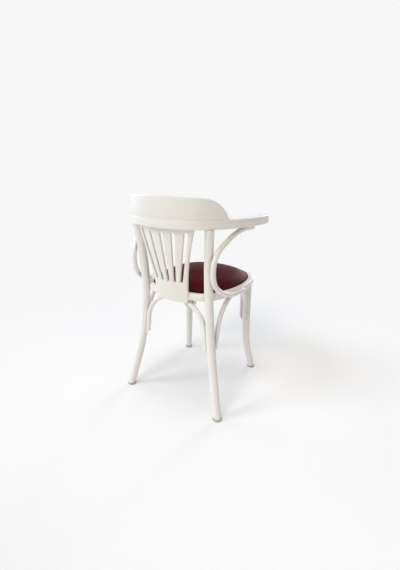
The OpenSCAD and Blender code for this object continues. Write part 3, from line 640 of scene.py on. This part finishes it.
def sawn_board(outlines, thick, ease, strip, along):
    """A flat board sawn to its outlines, with eased edges, ready in strips to be bent."""
    bm = bmesh.new()
    for outline in outlines:
        closed_loop(bm, [(p[0], 0, p[1]) for p in outline])
    bmesh.ops.triangle_fill(bm, edges=bm.edges[:], use_beauty=True, use_dissolve=False, normal=(0, 1, 0))
    made = bmesh.ops.extrude_face_region(bm, geom=bm.faces[:])["geom"]
    fresh = [v for v in made if isinstance(v, bmesh.types.BMVert)]
    bmesh.ops.translate(bm, vec=(0, -thick, 0), verts=fresh)
    bmesh.ops.recalc_face_normals(bm, faces=bm.faces[:])
    for pick, radius, segments in ease:
        round_over(bm, [e for e in rim_edges(bm) if pick(e)], radius, segments)
    reach = max(abs(v.co.x) for v in bm.verts)
    cuts = int(2 * reach / strip)
    for i in range(1, cuts):
        geom = bm.verts[:] + bm.edges[:] + bm.faces[:]
        at = (-reach + 2 * reach * i / cuts, 0, 0)
        bmesh.ops.bisect_plane(bm, geom=geom, plane_co=at, plane_no=(1, 0, 0))
    layer = bm.loops.layers.uv.new("grain")
    for face in bm.faces:
        for loop in face.loops:
            p = loop.vert.co
            loop[layer].uv = (p.z, p.x) if along == "Z" else (p.x, p.z)
    return bm


def splat_half():
    """The splat's outline on one side, from its foot up: a rounded corner and a hollow side."""
    low = foot_z + splat_corner
    points = []
    for k in range(6):
        a = math.radians(-90 + 15 * k)
        x = foot_half - splat_corner + splat_corner * math.cos(a)
        points.append(Vector((x, low + splat_corner * math.sin(a))))
    for k in range(25):
        z = low + (head_z - foot_z - splat_corner) * k / 24
        points.append(Vector((splat_side(z), z)))
    return points


half = splat_half()
outline = half + [Vector((-p.x, p.y)) for p in reversed(half)]
slots = [slot_outline(k) for k in range(-2, 3)]
bm = sawn_board([outline] + slots, splat_t, [(lambda e: True, 1.3 * mm, 3)], 5 * mm, "Z")
for v in bm.verts:
    v.co.y = math.sqrt((splat_bend + v.co.y) ** 2 - v.co.x ** 2) - splat_bend
lean = Matrix.Translation((0, splat_foot_y, ring_mid)) @ Matrix.Rotation(-splat_tilt, 4, "X")
bmesh.ops.transform(bm, matrix=lean, verts=bm.verts[:])
keep("back_splat_painted", bm, paint, "back_splat", 40)


# Crest rail: a thin board bent to the rail's outer face and dowelled upright on top of it, with
# round shoulders. Its top edge is rounded over; at its foot only a fine seam shows.
crest_h = 70 * mm
crest_t = 13 * mm
crest_reach = 240 * mm
crest_r = 93.5 * mm
crest_sink = 30.1 * mm


def wrapped(line, length, out):
    """Where a place on the flat board comes to lie when it is bent round the outline."""
    left = abs(length)
    for radius, start, end, centre in line:
        run = radius * math.radians(end - start)
        if left <= run:
            p = centre + (radius + out) * outward(start + math.degrees(left / radius))
            return Vector((math.copysign(p.x, length), p.y, 0))
        left -= run


def on_foot(edge):
    return max(v.co.z for v in edge.verts) < arm_h + 0.1 * mm


def crest_half():
    """The crest's outline on one side, from its foot up: a round shoulder and a faintly arched top."""
    middle = Vector((crest_reach - math.sqrt(crest_r ** 2 - crest_sink ** 2), -crest_sink))
    rise = crest_h + crest_sink
    top_r = (middle.x ** 2 + rise ** 2 - crest_r ** 2) / (2 * (rise - crest_r))
    slope = math.asin(middle.x / (top_r - crest_r))
    foot_angle = math.asin(crest_sink / crest_r)
    points = []
    for k in range(25):
        a = foot_angle + (math.pi / 2 - slope - foot_angle) * k / 24
        points.append(middle + crest_r * Vector((math.cos(a), math.sin(a))))
    for k in range(13, -1, -1):
        a = slope * k / 14
        points.append(Vector((top_r * math.sin(a), crest_h - top_r + top_r * math.cos(a))))
    return [Vector((p.x, arm_h + p.y)) for p in points]


half = crest_half()
outline = half + [Vector((-p.x, p.y)) for p in reversed(half[:-1])]
crest_ease = [(lambda e: not on_foot(e), 3.2 * mm, 4), (on_foot, 0.7 * mm, 2)]
bm = sawn_board([outline], crest_t, crest_ease, 6 * mm, "X")
for v in bm.verts:
    bent = wrapped(rail_line, v.co.x, v.co.y)
    v.co.x, v.co.y = bent.x, bent.y
keep("crest_rail_painted", bm, paint, "crest_rail", 40)


# Arm braces: bent rods screwed under the arms, drawn out in a bow outside and behind the rear legs,
# and screwed at their lower ends to the outside of the ring.
brace_d = 18 * mm
brace_r = brace_d / 2
brace_gap = 9 * mm
brace_high = rail_low - brace_r + flat
brace_low = ring_mid + flat
bow_heights = [ring_mid + share * (rail_low - ring_mid) for share in (0.665, 0.24)]
brace_leg = leg_at(rear_foot, rear_knee, rear_top, rear_bend, sum(bow_heights) / 2)
bow_way = Vector((28.1, 19.7, 0)).normalized()
belly = brace_leg + (rear_leg_r + brace_r + brace_gap) * bow_way
arm_out = 243.5 * mm
brace_in = 26 * mm
arm_end = Vector((arm_out - brace_in - arm_tip / 3, -11.5 * mm, 0))
under_arm = arm_end.lerp(belly, 0.39)
ring_turn = 79
ring_spot = place(ring_line, ring_turn, brace_r - flat)
onward = Vector((math.cos(math.radians(ring_turn)), -math.sin(math.radians(ring_turn)), 0))


def level(p, z):
    return Vector((p.x, p.y, z))


brace_path = [
    level(arm_end, brace_high),
    level(under_arm, brace_high),
    level(belly, bow_heights[0]),
    level(belly, bow_heights[1]),
    level(ring_spot - onward * 76 * mm, brace_low),
    level(ring_spot + onward * 25 * mm, brace_low),
]
brace_bends = [200 * mm, 90 * mm, 80 * mm, 150 * mm]


def arm_brace():
    bm = bent_rod(brace_path, brace_bends, lambda share: brace_d, 24)
    saw(bm, (0, 0, rail_low), (0, 0, 1), 0)
    ends = [e for e in bm.edges if e.is_manifold and e.calc_face_angle(0) > math.radians(70)]
    round_over(bm, ends, 1 * mm, 2)
    return bm


both_sides("arm_brace", arm_brace)


# Seat board and dowels: the plywood under the cushion, seen only from below, and the beech dowels
# hidden in the joints of crest and splat. Their CAD solids stay, with a plain grain.
def plain_wood(name, light, dark):
    material, tree = start_material(name)
    along = add_node(tree, "ShaderNodeMapping", {"Vector": body_map(tree), "Scale": (60, 5, 60)})
    grain = cloudy(tree, along.outputs["Vector"], 2.5, 6.0, 0.62, 0.4)
    surface(tree, {
        "Base Color": mixed(tree, grain, dark, light),
        "Roughness": 0.6,
        "Normal": bumped(tree, grain, 0.3, 0.2 * mm),
    })
    return material


def dress(node, material):
    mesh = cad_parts[node].data
    mesh.materials.clear()
    mesh.materials.append(material)


dress("seat_board", plain_wood("plywood_grain", (0.62, 0.46, 0.28, 1), (0.40, 0.26, 0.14, 1)))
beech = plain_wood("beech_grain", (0.66, 0.48, 0.30, 1), (0.48, 0.31, 0.17, 1))
dress("crest_dowels", beech)
dress("splat_dowels", beech)


# Cushion: foam under burgundy leather that is pulled down and tacked all round, so it is fullest
# in the middle and puckers slightly at its edge. The cover is blown up as cloth to get its tension.
board_top = seat_h - rebate_d + 8 * mm
pad_in = 26.4 * mm
pad_side = 7 * mm
pad_top = board_top + 40 * mm
pad_low = board_top + 0.3 * mm
pad_middle = Vector((0, -39.5 * mm, 0))
swell, fullness = ((3 * mm, 5.4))


def leather(name, light, dark, pebble):
    """Burgundy leather with almost no gloss: a fine pebble grain with painted shade in its creases, soft
    patches and low folds.
    """
    material, tree = start_material(name)
    where = body_map(tree)
    patches = cloudy(tree, where, 16.0, 4.0, 0.6)
    warp = add_node(tree, "ShaderNodeTexNoise", {"Vector": where, "Scale": 260.0, "Detail": 2.0})
    shift = {"Factor": 0.0015, "A": where, "B": warp.outputs["Color"]}
    shifted = add_node(tree, "ShaderNodeMix", shift, data_type="VECTOR").outputs["Result"]
    cells = {"Vector": shifted, "Scale": pebble, "Randomness": 1.0}
    voronoi = add_node(tree, "ShaderNodeTexVoronoi", cells, feature="DISTANCE_TO_EDGE")
    pebbles = ramp(tree, voronoi.outputs["Distance"], (0, 0.22), (0, 1), soft=True)
    # The creases between the pebbles are darkened: painted shade.
    painted_crease_shade = ramp(tree, voronoi.outputs["Distance"], (0, 0.22), (1, 0), soft=True)
    folds = cloudy(tree, where, 34.0, 3.0, warp=0.6)
    colour = mixed(tree, patches, dark, light)
    surface(tree, {
        "Base Color": mixed(tree, painted_crease_shade, colour, (0.72, 0.66, 0.66, 1), "MULTIPLY"),
        "Roughness": ramp(tree, patches, (0, 1), (0.33, 0.50)),
        "Specular IOR Level": 0.012,
        "Normal": bumped(tree, folds, 0.30, 0.7 * mm, bumped(tree, pebbles, 0.35, 0.16 * mm)),
    })
    return material


def pad_loop(share, z):
    """The cushion's outline drawn in to a share of its size, at a height."""
    half = [place(ring_line, 180 * k / 48, -pad_in) for k in range(49)]
    whole = half + [flip(p) for p in reversed(half[1:-1])]
    points = [pad_middle + share * (p - pad_middle) for p in whole]
    return [(p.x, p.y, z) for p in points]


def pad_height(share):
    """How high the cover starts, before it swells, at a share of the way out from the middle."""
    crown = pad_top - swell - board_top - pad_side
    return board_top + pad_side + crown * (1 - share ** fullness)


def cushion_shape(mesh_name):
    """The cushion as it is before it is blown up: loops drawn in and raised toward its crown."""
    bm = bmesh.new()
    levels = [(0.985, pad_low), (1.0, board_top + 0.45 * pad_side), (0.995, pad_height(0.995))]
    shares = (0.97, 0.93, 0.87, 0.79, 0.69, 0.57, 0.43, 0.28, 0.14)
    levels += [(share, pad_height(share)) for share in shares]
    rings = [closed_loop(bm, pad_loop(share, z)) for share, z in levels]
    for a, b in zip(rings, rings[1:]):
        edges = [bm.edges.get(pair) for ring in (a, b) for pair in zip(ring, ring[1:] + ring[:1])]
        bmesh.ops.bridge_loops(bm, edges=edges)
    cap(bm, rings[0])
    crown = cap(bm, rings[-1])
    bmesh.ops.poke(bm, faces=crown)
    bmesh.ops.recalc_face_normals(bm, faces=bm.faces[:])
    mesh = bpy.data.meshes.new(mesh_name)
    bm.to_mesh(mesh)
    bm.free()
    return mesh


def applied(obj):
    """The object's mesh with its modifiers applied, as a new mesh."""
    graph = bpy.context.evaluated_depsgraph_get()
    graph.update()
    return bpy.data.meshes.new_from_object(obj.evaluated_get(graph))


def blown_up(mesh, cap_move):
    """The mesh as a cloth cover blown up a little, held fast where it meets the board."""
    cloth = bpy.data.objects.new("cover_cloth", mesh)
    bpy.context.scene.collection.objects.link(cloth)
    fine = cloth.modifiers.new("even", "REMESH")
    fine.mode = "VOXEL"
    fine.voxel_size = 5 * mm
    cloth.data = applied(cloth)
    cloth.modifiers.clear()
    held = cloth.vertex_groups.new(name="held")
    held.add([v.index for v in cloth.data.vertices if v.co.z < board_top + 3 * mm], 1.0, "REPLACE")
    rest = [v.co.copy() for v in cloth.data.vertices]
    sim = cloth.modifiers.new("cover", "CLOTH")
    sim.settings.vertex_group_mass = "held"
    sim.settings.use_pressure = True
    sim.settings.uniform_pressure_force = 4
    sim.settings.shrink_min = 0.03
    sim.settings.bending_stiffness = 6
    sim.settings.quality = 6
    sim.settings.effector_weights.gravity = 0
    for number in range(1, 21):
        bpy.context.scene.frame_set(number)
    swollen = applied(cloth)
    bpy.context.scene.frame_set(1)
    for v, before in zip(swollen.vertices, rest):
        move = v.co - before
        if move.length > cap_move:
            v.co = before + move.normalized() * cap_move
    bpy.data.objects.remove(cloth)
    return swollen


def soften(bm):
    """Smooths the cover above its held edge, and far more over its crown, so that no crease is left."""
    loose = [v for v in bm.verts if v.co.z > board_top + 4 * mm]
    crown = [v for v in loose if (v.co.xy - pad_middle.xy).length < 125 * mm]
    axes = {"use_axis_x": True, "use_axis_y": True, "use_axis_z": True}
    for part, passes in ((loose, 4), (crown, 60)):
        for _ in range(passes):
            bmesh.ops.smooth_vert(bm, verts=part, factor=0.5, **axes)


def pucker(bm):
    """Gathers the cover in small ripples near its edge and dents it softly within."""
    for v in bm.verts:
        spoke = Vector((v.co.x, v.co.y, 0)) - pad_middle
        if spoke.length < 1e-4:
            continue
        angle = math.atan2(spoke.x, spoke.y)
        edge = (place(ring_line, abs(math.degrees(angle)), -pad_in) - pad_middle).length
        share = spoke.length / edge
        gather = max(0, 1 - abs(share - 0.90) / 0.12) if v.co.z > pad_low + 2 * mm else 0
        ripple = noise.noise(Vector((math.cos(angle) * 7, math.sin(angle) * 7, 3.1)))
        dent = noise.noise(Vector((v.co.x * 9, v.co.y * 9, 0.7)))
        v.co.z += gather * ripple * 0.7 * mm + max(0, 1 - share * share) * dent * 1.2 * mm


def stretch(bm, axis, low, high):
    """Stretches a piece along an axis until it reaches from one place to another."""
    now_low = min(v.co[axis] for v in bm.verts)
    now_high = max(v.co[axis] for v in bm.verts)
    for v in bm.verts:
        v.co[axis] = low + (v.co[axis] - now_low) * (high - low) / (now_high - now_low)


cover = leather("burgundy_leather", (0.118, 0.012, 0.019, 1), (0.064, 0.006, 0.011, 1), 1150.0)
mesh = cushion_shape("cushion_start")
mesh = blown_up(mesh, 5 * mm)
bm = bmesh.new()
bm.from_mesh(mesh)
soften(bm)
bmesh.ops.subdivide_edges(bm, edges=bm.edges[:], cuts=1, use_grid_fill=True, smooth=0.6)
pucker(bm)
outline = pad_loop(0.997, 0)
for axis in (0, 1):
    stretch(bm, axis, min(p[axis] for p in outline), max(p[axis] for p in outline))
stretch(bm, 2, pad_low, pad_top)
cushion = keep("cushion_leather", bm, cover, "seat_cushion", 180)


# Piping: a thin cord covered in darker leather. It runs round the foot of the cushion and lies in
# the corner between the cushion, its board and the ring.
piping_d = 4.6 * mm
cord_leather = leather("piping_leather", (0.034, 0.006, 0.009, 1), (0.018, 0.004, 0.006, 1), 1500.0)
bm = bmesh.new()
back = place(ring_line, 0, -21.3 * mm - piping_d / 2)
start = Matrix.Translation((0, back.y, board_top + piping_d / 2)) @ Matrix.Rotation(math.pi / 2, 4, "Y")
made = bmesh.ops.create_circle(bm, segments=14, radius=piping_d / 2, matrix=start)
rings = draw_out(bm, made["verts"], [swing(centre, turn) for centre, turn in turns_of(ring_line, 2.5)])
mirror_half(bm)
keep("piping_leather_cord", bm, cord_leather, "seat_piping")


# Glides: a low disc of hard plastic under each foot, with a pin that goes up into the leg's end.
# The CAD solids stay.
def moulded(name, colour):
    """Hard plastic with faint specks."""
    material, tree = start_material(name)
    specks = cloudy(tree, body_map(tree), 240.0, 3.0)
    dull = [c * 0.75 for c in colour[:3]] + [1]
    surface(tree, {
        "Base Color": mixed(tree, specks, dull, colour),
        "Roughness": 0.5,
        "Normal": bumped(tree, specks, 0.2, 0.1 * mm),
    })
    return material


glide_plastic = moulded("glide_plastic", (0.50, 0.46, 0.40, 1))
dress("rear_glides", glide_plastic)
dress("front_glides", glide_plastic)


# Screws and bolts: zinc-plated steel, one kind for each joint. Those that show are painted over with
# the wood. The CAD solids stay.
def zinc(name):
    material, tree = start_material(name)
    brushed = cloudy(tree, body_map(tree), 400.0, 3.0)
    surface(tree, {
        "Base Color": mixed(tree, brushed, (0.50, 0.50, 0.52, 1), (0.68, 0.68, 0.70, 1)),
        "Metallic": 1.0,
        "Roughness": ramp(tree, brushed, (0, 1), (0.25, 0.45)),
    })
    return material


steel = zinc("zinc_steel")
painted_over = painted("paint_on_screws", mapped=False)
dress("board_screws", steel)
dress("leg_bolts", steel)
dress("arch_leg_screws", painted_over)
dress("arch_ring_screws", painted_over)
dress("brace_screws", painted_over)


# The studio: a white floor that fades into a white surround, with a faint even light all round.
# Broad lamps do the rest: one overhead, warm ones behind the chair and at its right, cool ones at its
# left, and a low one in front.
white = (0.930, 0.926, 0.930, 1)
floor_bm = bmesh.new()
bmesh.ops.create_grid(floor_bm, x_segments=8, y_segments=8, size=12)
floor_mesh = bpy.data.meshes.new("studio_floor")
floor_bm.to_mesh(floor_mesh)
floor_bm.free()
floor = bpy.data.objects.new("studio_floor", floor_mesh)
bpy.context.scene.collection.objects.link(floor)


def maths(tree, operation, first, second):
    """What an operation makes of two values."""
    return add_node(tree, "ShaderNodeMath", {0: first, 1: second}, operation=operation).outputs["Value"]


def seen_rays(tree):
    """One for rays from the camera, from metal and through glass, which see the white surround."""
    rays = add_node(tree, "ShaderNodeLightPath", {}).outputs
    glossy = maths(tree, "MAXIMUM", rays["Is Glossy Ray"], rays["Is Transmission Ray"])
    return maths(tree, "MAXIMUM", rays["Is Camera Ray"], glossy)


def show(tree, share, plain, seen, end):
    """Puts one surface over another by a share, as what the material or world shows."""
    both = add_node(tree, "ShaderNodeMixShader", {"Fac": share, 1: plain, 2: seen})
    set_inputs(tree, tree.nodes[end], {"Surface": both.outputs["Shader"]})


material, tree = start_material("studio_floor")
surface(tree, {"Base Color": (0.945, 0.942, 0.945, 1), "Roughness": 0.9, "Specular IOR Level": 0.0})
reach = add_node(tree, "ShaderNodeVectorMath", {0: body_map(tree)}, operation="LENGTH")
fade = ramp(tree, reach.outputs["Value"], (0.75, 1.7), (0.15, 1), soft=True)
share = maths(tree, "MULTIPLY", fade, seen_rays(tree))
glow = add_node(tree, "ShaderNodeEmission", {"Color": white}).outputs["Emission"]
show(tree, share, tree.nodes["Principled BSDF"].outputs["BSDF"], glow, "Material Output")
floor_mesh.materials.append(material)

world = bpy.data.worlds.new("studio")
bpy.context.scene.world = world
world.use_nodes = True
tree = world.node_tree
sky = tree.nodes["Background"]
set_inputs(tree, sky, {"Color": (1.0, 0.99, 0.97, 1), "Strength": 0.10})
surround = add_node(tree, "ShaderNodeBackground", {"Color": white}).outputs["Background"]
show(tree, seen_rays(tree), sky.outputs["Background"], surround, "World Output")


def lamp(name, strength, tint, travel, spread):
    """A far, broad lamp whose light travels one way; its spread in degrees softens the shadows."""
    light = bpy.data.lights.new(name, "SUN")
    light.energy = strength
    light.color = tint
    light.angle = math.radians(spread)
    stand = bpy.data.objects.new(name, light)
    stand.rotation_euler = Vector(travel).to_track_quat("-Z", "Y").to_euler()
    bpy.context.scene.collection.objects.link(stand)


lamp("overhead_lamp", 0.96, (1.0, 0.97, 0.93), (0.001, 0, -1), 40)
lamp("camera_lamp", 1.28, (1.0, 0.94, 0.84), (0, -0.79, -0.62), 28)
lamp("left_lamp", 1.12, (0.68, 0.81, 1.0), (-0.56, -0.56, -0.62), 20)
lamp("low_left_lamp", 1.12, (0.74, 0.86, 1.0), (-0.98, 0, -0.21), 30)
lamp("right_lamp", 0.22, (1.0, 0.88, 0.74), (0.81, -0.30, -0.50), 30)
lamp("front_lamp", 1.4, (0.98, 0.98, 1.0), (0, 0.98, -0.21), 30)


# The camera stands where the photograph was taken from, behind the chair and to its right. Its place,
# its aim and its lens were fitted to the photograph.
look = Vector((0.48449, -0.81451, -0.31913)).normalized()
roll = math.radians(0.965)
level_right = look.cross(Vector((0, 0, 1))).normalized()
level_up = level_right.cross(look)
right = level_right * math.cos(roll) + level_up * math.sin(roll)
up = level_up * math.cos(roll) - level_right * math.sin(roll)
lens = bpy.data.cameras.new("photo_camera")
lens.sensor_width = 36
lens.lens = 20.18
camera = bpy.data.objects.new("photo_camera", lens)
aim = Matrix((right, up, -look)).transposed().to_4x4()
camera.matrix_world = Matrix.Translation((-0.6268, 1.0333, 0.8315)) @ aim
bpy.context.scene.collection.objects.link(camera)
bpy.context.scene.camera = camera
bpy.context.scene.view_settings.view_transform = "Standard"
